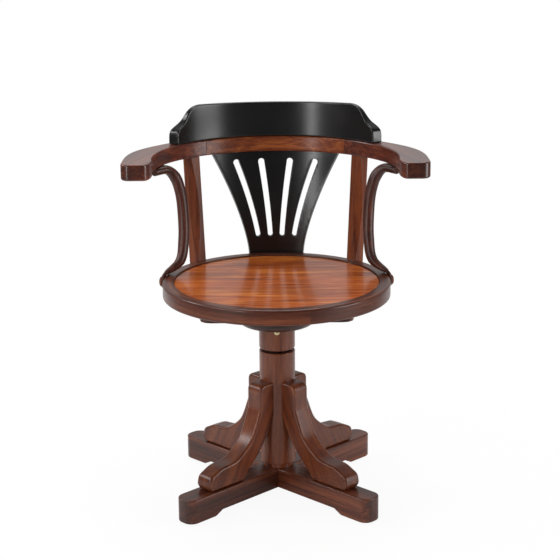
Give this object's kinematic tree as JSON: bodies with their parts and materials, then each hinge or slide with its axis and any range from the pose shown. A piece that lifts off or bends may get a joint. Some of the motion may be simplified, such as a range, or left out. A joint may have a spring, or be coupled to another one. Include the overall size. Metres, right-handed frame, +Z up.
{
  "type": "office swivel armchair",
  "caption": "Round wooden office armchair with a slotted back splat, a bow arm rail and bent arm brackets, on a screw-lift swivel column and crossed base",
  "frame": {"origin": "on the floor, at the middle of the bounding box's bottom face", "axes": "+Z up, the front toward -Y, +X toward the right of someone who looks at the chair's front"},
  "size_m": [0.612, 0.505, 0.7944],
  "materials": {
    "walnut": "dark walnut stain under satin lacquer",
    "red_walnut": "redder walnut stain under satin lacquer",
    "honey_panel": "honey stain under gloss lacquer",
    "black_satin": "black satin paint",
    "steel": "turned",
    "brass": "bright",
    "felt": "pressed felt"
  },
  "bodies": {
    "base": {"beam_lower": "walnut", "beam_upper": "walnut", "knee_front_right": "red_walnut", "knee_back_right": "red_walnut", "knee_back_left": "red_walnut", "knee_front_left": "red_walnut", "glide_front_right": "felt", "glide_back_right": "felt", "glide_back_left": "felt", "glide_front_left": "felt", "column": "walnut", "column_bolt": "steel", "bolt_washer": "steel", "thrust_ring": "steel"},
    "collar": {"collar": "walnut", "spindle_nut": "steel"},
    "lock_screw": {"lock_screw": "brass"},
    "spindle": {"spindle": "steel"},
    "seat": {"spindle_plate": "steel", "hub_disc": "walnut", "cross_bearer": "walnut", "batten_right": "walnut", "batten_left": "walnut", "seat_ring": "walnut", "seat_panel": "honey_panel", "bow_back": "red_walnut", "arm_right": "walnut", "arm_left": "walnut", "crest_rail": "black_satin", "post_right": "walnut", "post_left": "walnut", "splat": "black_satin", "arm_bracket_right": "red_walnut", "arm_bracket_left": "red_walnut", "bracket_bolt_right": "walnut", "bracket_bolt_left": "walnut"}
  },
  "joints": [
    {"name": "seat_swivel", "type": "hinge", "parent": "base", "child": "collar", "pos_m": [0, -0.0185, 0.312], "axis": [0, 0, 1], "continuous": true},
    {"name": "lock_screw_turn", "type": "hinge", "parent": "collar", "child": "lock_screw", "pos_m": [0, -0.0557, 0.357], "axis": [0, -1, 0], "range_deg": [0, 720]},
    {"name": "spindle_rise", "type": "slide", "parent": "collar", "child": "spindle", "axis": [0, 0, 1], "range_m": [0, 0.08]},
    {"name": "seat_turn", "type": "hinge", "parent": "spindle", "child": "seat", "pos_m": [0, -0.0185, 0.413], "axis": [0, 0, 1], "range_deg": [0, 3600]}
  ],
  "couplings": [
    {"joint": "spindle_rise", "follows": "seat_turn", "m_per_rad": 0.0012732}
  ]
}
